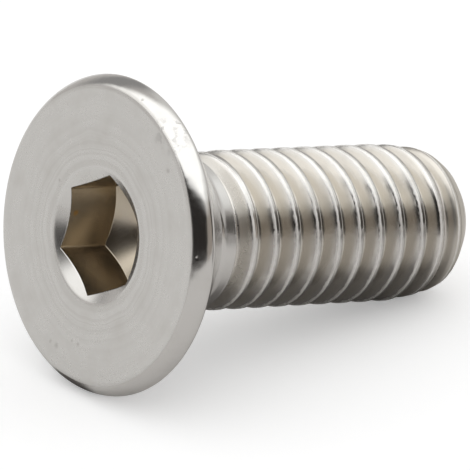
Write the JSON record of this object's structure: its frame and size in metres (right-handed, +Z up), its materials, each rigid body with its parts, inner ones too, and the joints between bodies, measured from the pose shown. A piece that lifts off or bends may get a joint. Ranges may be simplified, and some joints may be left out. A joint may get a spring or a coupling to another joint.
{
  "type": "countersunk socket screw",
  "caption": "Countersunk machine screw with a flat conical head, a hexagon socket and a fully threaded shank with a chamfered tip, lying on its side.",
  "frame": {"origin": "under the middle of the lying screw's bounding box, on the surface it lies on", "axes": "+Z up; the screw's axis lies in the XZ plane and runs from the head at -X to the tip at +X, dropping 12.4 degrees to the tip, because the screw rests on the rim of its head and on the last two crests of its thread"},
  "size_m": [0.0172, 0.0116, 0.0114],
  "materials": {
    "steel": "satin, bright plated or stainless steel with fine turning marks"
  },
  "bodies": {
    "root": {"screw": "steel"}
  },
  "joints": []
}
